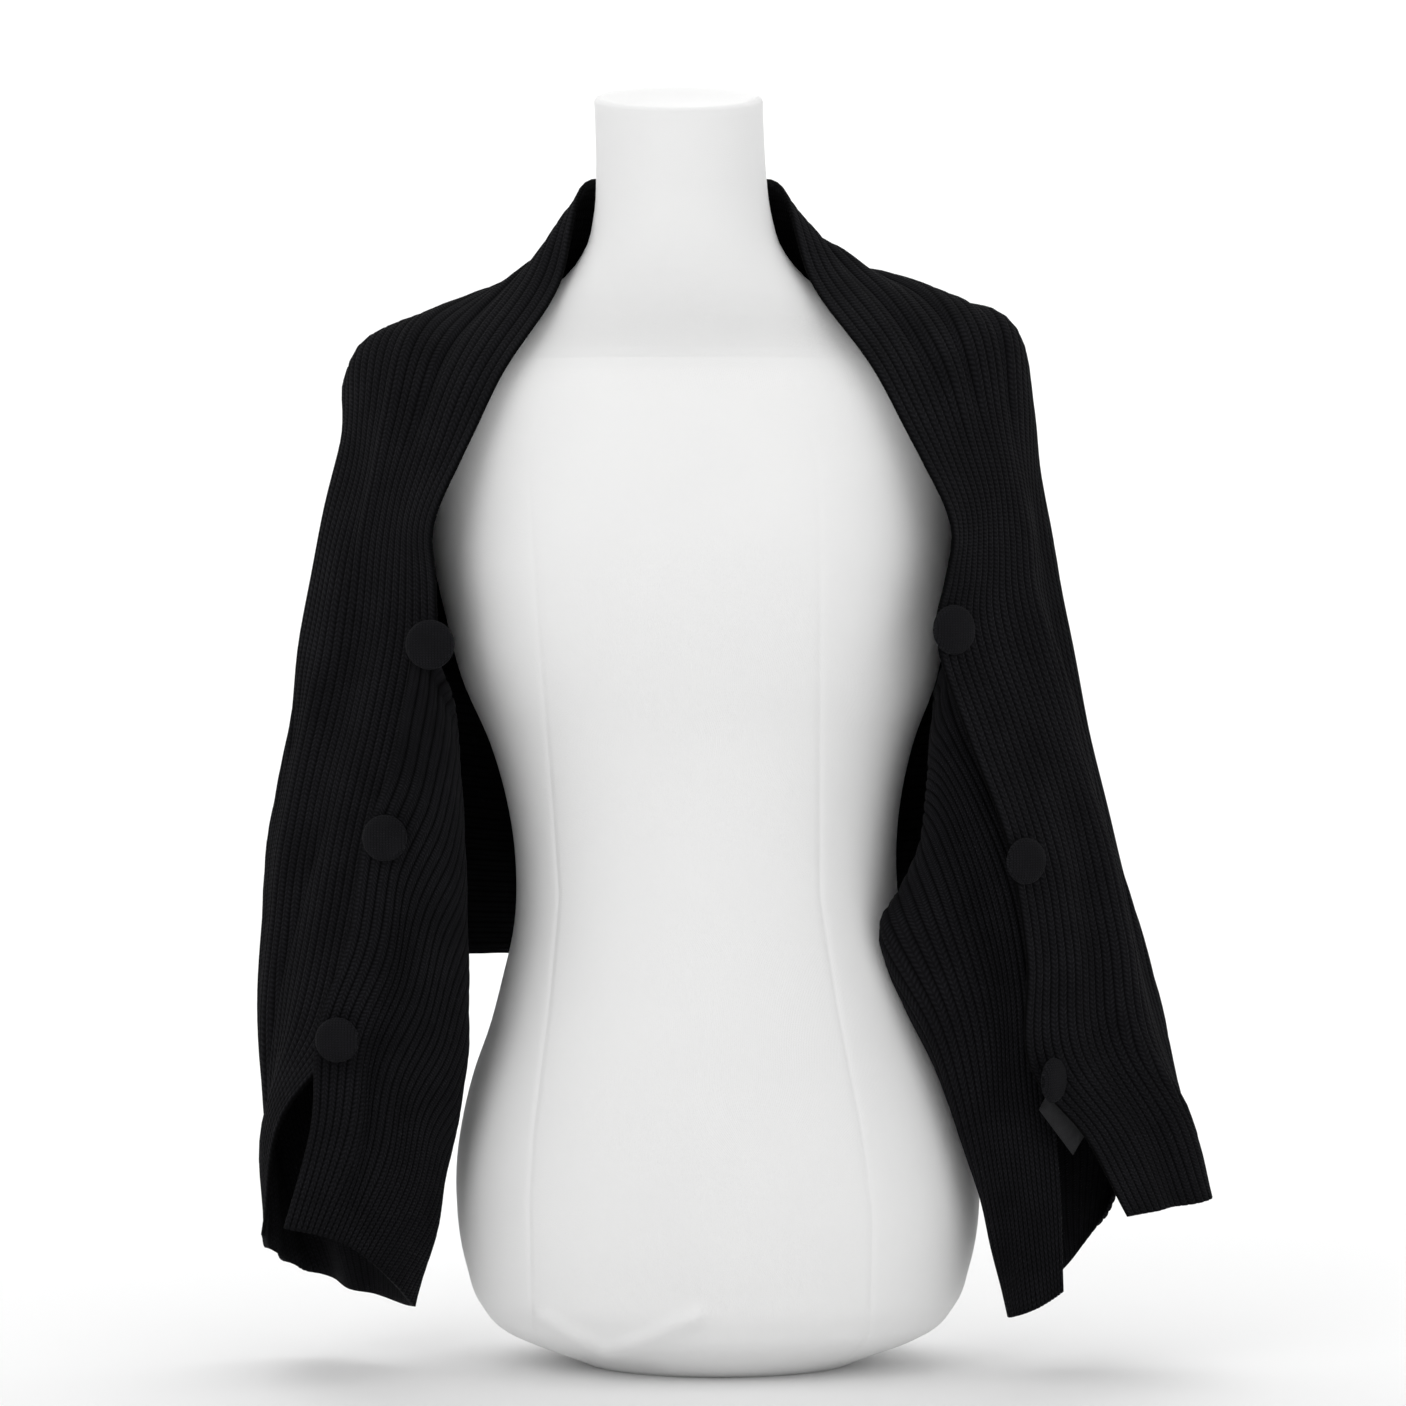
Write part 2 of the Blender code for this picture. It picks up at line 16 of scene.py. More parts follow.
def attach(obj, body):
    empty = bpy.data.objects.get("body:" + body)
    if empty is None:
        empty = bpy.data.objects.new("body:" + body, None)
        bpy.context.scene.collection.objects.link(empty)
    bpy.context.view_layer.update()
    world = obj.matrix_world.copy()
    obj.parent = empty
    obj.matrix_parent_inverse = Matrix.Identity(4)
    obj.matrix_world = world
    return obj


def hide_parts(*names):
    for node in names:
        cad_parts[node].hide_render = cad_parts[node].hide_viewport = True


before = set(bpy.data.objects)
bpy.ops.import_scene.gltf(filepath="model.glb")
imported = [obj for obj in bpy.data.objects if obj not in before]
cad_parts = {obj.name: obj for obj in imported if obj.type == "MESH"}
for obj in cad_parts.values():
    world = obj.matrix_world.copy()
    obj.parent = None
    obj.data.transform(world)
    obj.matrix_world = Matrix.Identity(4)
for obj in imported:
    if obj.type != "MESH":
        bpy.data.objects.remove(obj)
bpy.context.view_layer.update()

MM = 0.001

# Knit
RIBS = 76
WALL = 1.7 * MM
RIB_HEIGHT = 1.3 * MM
PANEL_WIDTH = 480 * MM
RIB_STEPS = (0.0, 0.14, 0.36, 0.64, 0.86)
RIB_PROFILE = (0.0, 0.74, 1.0, 1.0, 0.74)
ROW_STEP = 9 * MM
SLEEVE_START = 300 * MM
SLEEVE_END = 795 * MM
BACK_CLEARANCE = 1.6 * MM
SLEEVE_CLEARANCE = 5.0 * MM
FINE_STEPS = 400
KNOT_POWER = 0.7
SHARE_BEND = 0.06
WAVE_ALONG = 23.0
WAVE_ACROSS = 31.0
WAVE_HEIGHT = 0.7
STITCH = 2.8 * MM
FINE_STITCH = 1.5 * MM
FINE_RIB = 1.9 * MM

# Dress form
LEAN = -0.036
LEAN_FROM = 102 * MM
NECK_TILT = 0.31
NECK_TILT_FROM = 730 * MM
NECK_TOP = 797 * MM
DISH_DEPTH = 9 * MM
SECTOR_COLUMNS = 26
SEAM_DEPTH = 0.55 * MM
SEAM_HALF = 1.5 * MM
SEAM_PUFF = 0.18 * MM
SEAM_PUFF_HALF = 9 * MM
SEAM_COLUMNS = (0.0, 1.1, 2.3, 4.5, 8.0, 13.0)
SEAM_SPAN = 40
HEAVY_ROW = 2.5
LIGHT_ROW = 7
WRINKLED_BELOW = 60
WRINKLE_TOP = 80
RIM_TOP = 10
JERSEY_STITCH = 0.9 * MM

# Buttons
BUTTON_HEIGHT = 7.0 * MM
BUTTON_GAP = 0.2 * MM
BUTTON_SEGMENTS = 72
BUTTON_RINGS = 26
BUTTON_REACH = 80 * MM
GATHERS = 18
GATHER_DEPTH = 0.35 * MM
SEAT_RINGS = 21
SEAT_ANGLES = 64

# Backdrop
BACKDROP_HALF = 14.0
WALL_Y = 3.4
WALL_TOP = 4.5
COVE = 1.2
COVE_STEPS = 12

# Lights: name, place, point aimed at, width and height, power in watts
AIM = (0.0, 0.0, 0.42)
LIGHTS = (
    ("key", (-1.5, -2.0, 1.9), AIM, (1.6, 1.6), 13),
    ("fill", (1.8, -1.8, 1.2), AIM, (1.6, 1.6), 6),
    ("top", (0.0, 0.2, 2.4), AIM, (2.2, 1.6), 7),
    ("wall", (0.0, 1.2, 3.2), (0.0, 3.4, 0.9), (3.4, 1.0), 45),
)
SKY = 0.74

# Camera
CAMERA_PLACE = (-0.0095, -2.2, 0.415)
CAMERA_LENS = 89.4
CAMERA_SENSOR = 36.0

# Cross-sections of the form in mm:
# height, half width, depth in front, depth behind, squareness
FORM_SECTIONS = (
    (0, 82, 52, 60, 2.0),
    (5, 93, 63, 71, 2.0),
    (12, 112, 75, 84, 2.0),
    (22, 134, 88, 96, 2.1),
    (38, 149, 97, 104, 2.15),
    (62, 158, 101, 109, 2.2),
    (92, 163.5, 103, 112, 2.2),
    (125, 163.5, 103, 112, 2.2),
    (155, 158.5, 101, 108, 2.2),
    (185, 150, 98, 102, 2.2),
    (212, 139.5, 95, 96, 2.2),
    (242, 130.5, 91, 88, 2.2),
    (275, 122, 87, 81, 2.2),
    (312, 119.5, 84, 76, 2.2),
    (350, 123, 86, 77, 2.2),
    (390, 133, 93, 81, 2.2),
    (430, 149, 104, 86, 2.2),
    (470, 158, 113, 90, 2.2),
    (505, 165, 113, 92, 2.2),
    (545, 171, 101, 93, 2.2),
    (585, 181, 84, 88, 2.2),
    (612, 188, 70, 80, 2.2),
    (628, 182, 60, 72, 2.1),
    (641, 156, 52, 66, 2.0),
    (653, 126, 47, 61, 2.0),
    (666, 100, 45, 58, 2.0),
    (681, 78, 45, 57, 2.0),
    (699, 63, 48, 55, 2.0),
    (722, 56, 50, 52, 2.0),
    (750, 53.5, 51, 50, 2.0),
    (780, 53, 51.5, 49, 2.0),
)

# Seams down the form: height in mm, then distance in mm from the middle line in front
SEAM_PLACES = (
    (0, 84), (32, 103), (109, 104), (153, 100), (230, 88), (296, 80), (430, 84), (560, 88),
    (640, 70), (700, 44), (740, 34), (797, 34),
)

SEAM_SHIFT = -11

# How strongly the seams show: height in mm, then the share of their depth
SEAM_STRENGTH = ((0, 1.0), (320, 0.9), (520, 0.4), (620, 0.0), (797, 0.0))
MIDDLE_SEAM = 0.3

# Wrinkles of the form's cover near its base, in mm: x z of each end, half width, height
WRINKLES = (
    (-110, 43, -66, 18, 5, 4.5),
    (-70, 18, -10, 47, 5, 4.5),
    (-86, 12, -36, 8, 6, -3.0),
    (70, 30, 120, 14, 6, 0.9),
)

# Sections across the back in mm, from the neck edge to the hem edge. Each names seven places:
# neck edge, over the shoulder, back, lower back, above the hem twice, hem edge.
# x is measured outwards from the form's middle line.
# u, x y z of each place in that order, then v at the fifth place
MIDDLE_SECTIONS = (
    (0, 0, 62, 748, 0, 82, 640, 0, 100, 520, 0, 100, 400, 0, 99, 320, 0, 98, 284, 0, 98, 250, 0.86),
    (50, 42, 42, 750, 52, 74, 648, 52, 99, 520, 52, 99, 400, 52, 98, 320, 52, 97, 284, 52, 97, 250, 0.86),
    (95, 60, 6, 743, 92, 44, 666, 98, 93, 530, 98, 96, 400, 98, 95, 320, 98, 94, 284, 98, 94, 250, 0.86),
)

LEFT_SECTIONS = (
    (170, 77, -30, 678, 139, 14, 668, 154, 76, 565, 140, 94, 420,
     134, 93, 327, 132, 91, 288, 132, 90, 251, 0.85),
    (260, 117, -76, 607, 207, 2, 636, 205, 68, 548, 180, 88, 425,
     160, 90, 329, 155, 88, 289, 152, 86, 251, 0.85),
    (300, 137, -88, 566, 213, -3, 598, 215, 62, 530, 191, 84, 420,
     170, 88, 330, 164, 86, 290, 160, 84, 251, 0.85),
)

RIGHT_SECTIONS = (
    (170, 77, -30, 680, 139, 12, 682, 156, 74, 572, 140, 94, 420,
     134, 93, 327, 132, 91, 288, 132, 90, 251, 0.85),
    (260, 117, -76, 609, 206, 0, 648, 204, 68, 552, 180, 88, 425,
     160, 90, 329, 155, 88, 289, 152, 86, 251, 0.85),
    (300, 137, -88, 566, 211, -3, 604, 213, 62, 534, 190, 84, 420,
     170, 88, 330, 164, 86, 290, 160, 84, 251, 0.85),
)

# Sections round each sleeve in mm below its seam. Each names seven places:
# front edge, outer side, back, lower side behind, inner side in front, inner border of the
# buttoned lap, hem edge.
# u, x y z of each place in that order, then v at the fourth and at the fifth place
LEFT_SLEEVE = (
    (345, 156, -97, 522, 218, -6, 560, 222, 58, 486, 176, 70, 243,
     156, -20, 310, 153, -80, 400, 171, -99, 452, 0.708, 0.81),
    (390, 157, -92, 488, 228, -14, 512, 230, 54, 441, 186, 56, 231,
     154, -38, 300, 155, -91, 394, 175, -99, 434, 0.692, 0.81),
    (428, 158, -85, 450, 237, -20, 465, 238, 50, 398, 193, 44, 217,
     152, -54, 288, 158, -94, 384, 179, -99, 414, 0.665, 0.80),
    (490, 170, -84, 395, 246, -26, 405, 246, 45, 335, 201, 30, 193,
     150, -66, 258, 166, -97, 352, 188, -99, 377, 0.625, 0.79),
    (553, 186, -84, 338, 260, -28, 345, 256, 38, 270, 204, 20, 164,
     151, -66, 213, 182, -97, 308, 205, -99, 332, 0.59, 0.75),
    (615, 200, -84, 278, 269, -28, 285, 264, 34, 210, 205, 13, 131,
     158, -62, 168, 194, -97, 260, 216, -99, 276, 0.561, 0.72),
    (680, 219, -85, 216, 276, -26, 218, 271, 30, 160, 209, 8, 100,
     169, -56, 126, 213, -98, 208, 238, -100, 216, 0.53, 0.68),
    (735, 264, -72, 160, 280, -30, 148, 271, 27, 112, 209, -2, 68,
     177, -53, 88, 215, -97, 152, 243, -99, 163, 0.5, 0.65),
    (795, 282, -30, 84, 279, 6, 66, 256, 24, 52, 214, 0, 42,
     190, -50, 45, 228, -94, 90, 262, -95, 99, 0.47, 0.60),
)

RIGHT_SLEEVE = (
    (345, 154, -99, 522, 214, -6, 565, 220, 58, 490, 176, 70, 243,
     155, -20, 312, 144, -62, 402, 160, -80, 448, 0.709, 0.81),
    (390, 150, -101, 488, 219, -15, 520, 226, 54, 446, 186, 56, 231,
     150, -38, 306, 143, -72, 396, 162, -79, 432, 0.687, 0.81),
    (428, 143, -101, 459, 223, -22, 480, 231, 48, 404, 191, 43, 217,
     138, -54, 310, 146, -78, 386, 165, -78, 410, 0.672, 0.80),
    (490, 160, -101, 395, 236, -30, 402, 240, 42, 342, 197, 26, 191,
     121, -66, 302, 160, -79, 350, 180, -75, 368, 0.632, 0.79),
    (553, 182, -100, 325, 250, -35, 335, 254, 36, 282, 200, 15, 166,
     109, -66, 278, 178, -77, 300, 199, -71, 315, 0.612, 0.77),
    (615, 190, -98, 262, 264, -38, 272, 264, 32, 222, 203, 8, 139,
     136, -70, 210, 184, -77, 241, 205, -70, 257, 0.585, 0.76),
    (680, 191, -94, 195, 280, -38, 208, 274, 26, 170, 208, 2, 108,
     157, -68, 138, 184, -77, 175, 206, -70, 188, 0.57, 0.76),
    (735, 224, -87, 151, 296, -38, 154, 276, 20, 138, 214, -2, 84,
     169, -66, 88, 186, -76, 116, 208, -71, 130, 0.56, 0.77),
    (795, 248, -80, 103, 307, -32, 109, 266, 10, 112, 219, -8, 62,
     180, -60, 39, 192, -76, 46, 210, -74, 57, 0.55, 0.78),
)

# Hem edge under each arm in mm, from the corner of the back to the first button
LEFT_HEM = (
    (163, 83, 251), (160, 44, 288), (157, 2, 330), (152, -55, 396), (153, -86, 424), (166, -99, 466),
)
RIGHT_HEM = (
    (163, 83, 251), (160, 44, 288), (156, 2, 331), (146, -46, 402), (147, -68, 430), (158, -80, 460),
)

# Ribs up to this v run on from the back into the sleeve, and this v of the sleeve starts
# at the corner of the back
KEPT_V = 0.42
CORNER_V = 27 / 38
CREASE_V = 0.62

# Largest folds that run along the panel in mm. Side is -1 for the viewer's left, 1 for the right.
# side, u from, u to, v at the start, v at the end, half width, height (a trough is negative)
FOLDS = (
    (-1, 540, 800, 0.930, 0.875, 24, -7),
    (-1, 380, 900, 0.13, 0.16, 27, -5),
    (-1, 300, 900, 0.26, 0.30, 30, 5),
    (-1, 450, 900, 0.42, 0.38, 34, -7),
    (1, 500, 900, 0.13, 0.10, 24, -5),
    (1, 330, 900, 0.24, 0.22, 28, -6),
    (1, 430, 700, 0.90, 0.88, 30, -5),
    (1, 450, 900, 0.42, 0.38, 34, -7),
    (1, 100, 290, 0.11, 0.08, 22, -3.5),
    (-1, 100, 280, 0.12, 0.09, 22, -3.5),
)
FOLD_FADE = 70

# Finer creases, in the same columns as the folds
CREASES = (
    (-1, 50, 340, 0.075, 0.095, 9, -3.6),
    (-1, 70, 330, 0.035, 0.045, 11, 2.0),
    (-1, 110, 420, 0.135, 0.150, 9, 1.8),
    (1, 40, 300, 0.055, 0.070, 7, -3.2),
    (1, 60, 330, 0.105, 0.130, 7, -3.0),
    (1, 90, 360, 0.165, 0.200, 8, -2.2),
    (1, 60, 330, 0.080, 0.100, 7, 2.0),
    (-1, 330, 520, 0.30, 0.40, 9, -2.2),
    (-1, 430, 700, 0.22, 0.34, 10, 2.0),
    (-1, 520, 760, 0.10, 0.20, 8, -1.8),
    (-1, 600, 790, 0.42, 0.36, 8, 2.0),
    (-1, 120, 330, 0.34, 0.24, 11, 1.8),
    (-1, 40, 240, 0.62, 0.52, 12, -1.6),
    (1, 330, 540, 0.26, 0.40, 9, -2.2),
    (1, 400, 690, 0.18, 0.30, 10, 2.2),
    (1, 500, 740, 0.38, 0.26, 9, -2.0),
    (1, 620, 790, 0.12, 0.24, 8, 2.0),
    (1, 90, 300, 0.28, 0.38, 11, 1.8),
    (1, 60, 260, 0.70, 0.60, 12, -1.6),
)

# Radius and height of the button's rings, as shares of its own
BUTTON_PROFILE = ((0.72, 0.0), (0.97, 0.22), (1.0, 0.45), (0.86, 0.78), (0.5, 0.96))

# Buttons in mm: name, side, x outwards from the form's middle line, z, diameter,
# turn outwards from the front in degrees
BUTTONS = (
    ("button_left_1", -1, 160, 450, 30, 8),
    ("button_left_2", -1, 191, 334, 28, 12),
    ("button_left_3", -1, 224, 213, 27, 10),
    ("button_right_1", 1, 152, 459, 30, 30),
    ("button_right_2", 1, 190, 320, 28, 30),
    ("button_right_3", 1, 196, 188, 27, 56),
)

# Corners of the blank label in mm, sewn under the right sleeve's front edge below the buttons
LABEL_CORNERS = ((205, -86.9, 184), (225, -81.9, 154), (216, -84.9, 141), (196, -89.9, 169))
LABEL_THICKNESS = 0.7 * MM
LABEL_GRID = (9, 15)
LABEL_BOW = 1.6 * MM


def hermite(knots, values, at):
    """A smooth curve through the values at the knots, read at each place in `at`."""
    knots = np.asarray(knots, float)
    values = np.asarray(values, float)
    at = np.asarray(at, float)
    steps = np.diff(knots)
    shape = (-1,) + (1,) * (values.ndim - 1)
    slopes = np.diff(values, axis=0) / steps.reshape(shape)
    before = steps[:-1].reshape(shape)
    after = steps[1:].reshape(shape)
    tangents = np.empty_like(values)
    tangents[0] = slopes[0]
    tangents[-1] = slopes[-1]
    tangents[1:-1] = (slopes[:-1] * after + slopes[1:] * before) / (before + after)
    index = np.clip(np.searchsorted(knots, at, side="right") - 1, 0, len(steps) - 1)
    h = steps[index].reshape(shape)
    t = ((at - knots[index]) / steps[index]).reshape(shape)
    a = values[index]
    b = values[index + 1]
    m = tangents[index] * h
    n = tangents[index + 1] * h
    return (
        a * (2 * t**3 - 3 * t**2 + 1)
        + m * (t**3 - 2 * t**2 + t)
        + b * (3 * t**2 - 2 * t**3)
        + n * (t**3 - t**2)
    )


def lean(z):
    return LEAN * np.maximum(z - LEAN_FROM, 0.0)


def length_knots(places):
    chords = np.linalg.norm(np.diff(places, axis=0), axis=1)
    return np.concatenate([[0.0], np.cumsum(chords**KNOT_POWER)])


def curve_through(places):
    """A smooth curve through the places: its parameters, the lengths up to them, its points."""
    knots = length_knots(places)
    spots = np.linspace(0, knots[-1], FINE_STEPS)
    fine = hermite(knots, places, spots)
    lengths = np.linalg.norm(np.diff(fine, axis=0), axis=1)
    return spots, np.concatenate([[0.0], np.cumsum(lengths)]), fine


def along_section(places, share, fractions):
    """Points of a smooth curve through seven places. `share` is the v of the fifth place."""
    spots, travelled, fine = curve_through(places)
    fifth = np.interp(length_knots(places)[4], spots, travelled)
    bend = SHARE_BEND
    table_v = (0.0, share - bend, share + bend, 1.0)
    rate_before = fifth / share
    rate_after = (travelled[-1] - fifth) / (1 - share)
    table_s = (0.0, fifth - bend * rate_before, fifth + bend * rate_after, travelled[-1])
    wanted = hermite(table_v, table_s, fractions)
    return np.stack([np.interp(wanted, travelled, fine[:, k]) for k in range(3)], axis=1)


def round_sleeve(places, shares, fractions):
    """Points round a sleeve: the kept ribs at their own width, the rest shared out."""
    spots, travelled, fine = curve_through(places)
    knots = length_knots(places)
    fourth, fifth = np.interp(knots[3:5], spots, travelled)
    kept = KEPT_V * min(PANEL_WIDTH, fourth / shares[0])
    table_v = (0.0, KEPT_V / 2, KEPT_V, shares[0], shares[1], 1.0)
    table_s = (0.0, kept / 2, kept, fourth, fifth, travelled[-1])
    wanted = hermite(table_v, table_s, fractions)
    return np.stack([np.interp(wanted, travelled, fine[:, k]) for k in range(3)], axis=1)


def fold_height(distances, fractions):
    """How far folds, creases and a slight unevenness move each point out of the sheet."""
    total = np.zeros((len(distances), len(fractions)))
    u = np.asarray(distances)[:, None] / MM
    v = np.asarray(fractions)[None, :] * PANEL_WIDTH / MM
    for side, start, end, v_start, v_end, half, height in FOLDS + CREASES:
        along = np.clip((side * u - start) / (end - start), 0, 1)
        centre = (v_start + (v_end - v_start) * along) * PANEL_WIDTH / MM
        near = np.clip(np.abs(v - centre) / half, 0, 1)
        across = (1 + np.cos(math.pi * near)) / 2
        rise = np.clip((side * u - start) / FOLD_FADE, 0, 1)
        fall = np.clip((end - side * u) / FOLD_FADE, 0, 1)
        total += height * across * smooth(rise) * smooth(fall)
    wave = np.sin(u / WAVE_ALONG + 3 * np.sin(v / WAVE_ACROSS))
    wave = wave * np.sin(v / WAVE_ACROSS + 2 * np.sin(u / WAVE_ALONG / 2))
    return (total + WAVE_HEIGHT * wave) * MM


def smooth(t):
    return t * t * (3 - 2 * t)


def section_of(row, side):
    places = np.array(row[1:22], float).reshape(7, 3) * MM
    places[:, 0] *= side
    return places


def panel_surface(distances, fractions):
    """The inner face of the back as a grid of points."""
    rows = []
    for row in reversed(MIDDLE_SECTIONS[1:] + LEFT_SECTIONS):
        rows.append((-row[0] * MM, section_of(row, -1), row[22]))
    for row in MIDDLE_SECTIONS + RIGHT_SECTIONS:
        rows.append((row[0] * MM, section_of(row, 1), row[22]))
    knots = [u for u, _, _ in rows]
    curves = [along_section(places, share, fractions) for _, places, share in rows]
    grid = hermite(knots, curves, distances)
    grid[..., 0] += lean(grid[..., 2])
    return grid


def top_of_sleeve(side, fractions):
    """The sleeve's first row: beside the back's last row, then along the hem edge."""
    sections = LEFT_SECTIONS if side < 0 else RIGHT_SECTIONS
    hem = np.array(LEFT_HEM if side < 0 else RIGHT_HEM, float) * MM
    hem[:, 0] *= side
    last = sections[-1]
    beside = fractions[fractions <= CORNER_V]
    points = along_section(section_of(last, side), last[22], seam_v(beside))
    _, travelled, fine = curve_through(hem)
    share = (fractions[fractions > CORNER_V] - CORNER_V) / (1 - CORNER_V)
    edge = [np.interp(share * travelled[-1], travelled, fine[:, k]) for k in range(3)]
    return np.concatenate([points, np.stack(edge, axis=1)])


def seam_v(fractions):
    """v on the back's last row beside each v of the sleeve."""
    past = np.clip(fractions - KEPT_V, 0, CORNER_V - KEPT_V)
    bend = (1 - CORNER_V) / (CORNER_V - KEPT_V) ** 2
    return np.minimum(fractions, KEPT_V) + past + bend * past**2


def sleeve_surface(side, distances, fractions):
    """The inner face of a sleeve as a grid of points, from its top down to the cuff."""
    rows = LEFT_SLEEVE if side < 0 else RIGHT_SLEEVE
    knots = [SLEEVE_START] + [row[0] * MM for row in rows]
    curves = [top_of_sleeve(side, fractions)]
    for row in rows:
        curves.append(round_sleeve(section_of(row, side), row[22:24], fractions))
    grid = hermite(knots, curves, distances)
    grid[..., 0] += lean(grid[..., 2])
    return grid


def clear_of(tree, grid, gap):
    """Moves each point that is inside the form, or nearer than the gap, out to the gap."""
    moved = grid.copy()
    for index in np.ndindex(grid.shape[:2]):
        point = Vector(grid[index])
        near, normal, _, distance = tree.find_nearest(point)
        outside = (point - near).dot(normal)
        signed = math.copysign(distance, outside)
        if signed < gap:
            away = (point - near).normalized() if outside > 1e-5 else normal
            moved[index] = near + away * gap
    return moved


def normals_of(grid):
    """The mean direction of the faces round each point."""
    first = grid[1:, 1:] - grid[:-1, :-1]
    second = grid[:-1, 1:] - grid[1:, :-1]
    faces = np.pad(unit(np.cross(first, second)), ((1, 1), (1, 1), (0, 0)), mode="edge")
    return unit(faces[1:, 1:] + faces[1:, :-1] + faces[:-1, 1:] + faces[:-1, :-1])


def unit(vectors):
    return vectors / np.linalg.norm(vectors, axis=-1, keepdims=True)


def back_grid(distances, fractions, tree):
    """Inner points of the back with its folds, clear of the form, and their normals."""
    grid = panel_surface(distances, fractions)
    grid = grid + normals_of(grid) * fold_height(distances, fractions)[..., None]
    grid = clear_of(tree, grid, BACK_CLEARANCE)
    return grid, normals_of(grid)


def sleeve_grid(side, distances, fractions, tree, back_row, back_normals):
    """Inner points of a sleeve and their normals. Its top lies on the back's last row."""
    grid = sleeve_surface(side, distances, fractions)
    outward = normals_of(grid) * side
    height = fold_height(side * distances, fractions)
    height[0] = 0.0
    grid = grid + outward * height[..., None]
    grid = clear_of(tree, grid, SLEEVE_CLEARANCE)
    beside = fractions <= CORNER_V
    v = seam_v(fractions[beside])
    at = fractions
    grid[0, beside] = np.stack([np.interp(v, at, back_row[:, k]) for k in range(3)], axis=1)
    normals = normals_of(grid) * side
    taken = np.stack([np.interp(v, at, back_normals[:, k]) for k in range(3)], axis=1)
    own = smooth(np.clip((fractions[beside] - CREASE_V) / (CORNER_V - CREASE_V), 0, 1))[:, None]
    normals[0, beside] = unit(unit(taken) * (1 - own) + normals[0, beside] * own)
    return grid, normals


def mesh_object(name, points, faces, look, uvs=None):
    """A smooth-shaded mesh. `uvs` holds one place on the cloth for each point."""
    mesh = bpy.data.meshes.new(name)
    mesh.from_pydata([tuple(p) for p in points], [], faces)
    mesh.validate()
    mesh.polygons.foreach_set("use_smooth", [True] * len(mesh.polygons))
    if uvs is not None:
        layer = mesh.uv_layers.new(name="cloth")
        corners = np.empty(len(mesh.loops), np.int32)
        mesh.loops.foreach_get("vertex_index", corners)
        layer.data.foreach_set("uv", np.asarray(uvs, np.float32)[corners].reshape(-1))
    mesh.update()
    made = bpy.data.objects.new(name, mesh)
    made.data.materials.append(look)
    bpy.context.scene.collection.objects.link(made)
    return made


def tree_of(item):
    mesh = item.data
    return BVHTree.FromPolygons(
        [v.co for v in mesh.vertices], [tuple(p.vertices) for p in mesh.polygons]
    )


def form_rows():
    """Height, half width, depths in front and behind, squareness of each ring of the cover."""
    table = np.array(FORM_SECTIONS, float)
    low = np.arange(0, WRINKLED_BELOW, HEAVY_ROW)
    heights = np.concatenate([low, np.arange(WRINKLED_BELOW, table[-1, 0], LIGHT_ROW)])
    heights = np.append(heights, table[-1, 0])
    rows = hermite(table[:, 0], table, heights)
    last = table[-1]
    top = NECK_TOP / MM
    rim = []
    for height, share in (
        (top - 9, 1.0), (top - 3, 1.005), (top - 0.8, 0.985), (top, 0.95), (top - 0.4, 0.9),
        (top - 2.5, 0.82), (top - 6, 0.7), (top - 8.4, 0.5), (top - DISH_DEPTH / MM, 0.25),
    ):
        rim.append((height, last[1] * share, last[2] * share, last[3] * share, 2.0))
    return np.concatenate([rows, np.array(rim)])


def seam_angles(height, half, power):
    """The seams' places round a ring: the right side, three behind, the left side, three in front."""
    table = np.array(SEAM_PLACES, float)
    aside = np.interp(height, table[:, 0], table[:, 1])
    shift = SEAM_SHIFT * np.interp(height, (600, 740), (1, 0))
    found = []
    for x in (aside + shift, shift, shift - aside):
        share = min(abs(x) / half, 0.97) ** (power / 2)
        found.append(math.acos(math.copysign(share, x)))
    return (0.0, *found, math.pi, *(2 * math.pi - turn for turn in reversed(found)))


def wrinkle_height(x, z):
    total = 0.0
    for x_start, z_start, x_end, z_end, half, height in WRINKLES:
        along = np.array([x_end - x_start, z_end - z_start], float)
        length = np.linalg.norm(along)
        along /= length
        away = np.array([x - x_start, z - z_start])
        travelled = away @ along
        off = abs(away @ np.array([-along[1], along[0]]))
        ends = smooth(np.clip(min(travelled, length - travelled) / half / 2 + 0.5, 0, 1))
        total += height * ends * math.exp(-((off / half) ** 2))
    return total


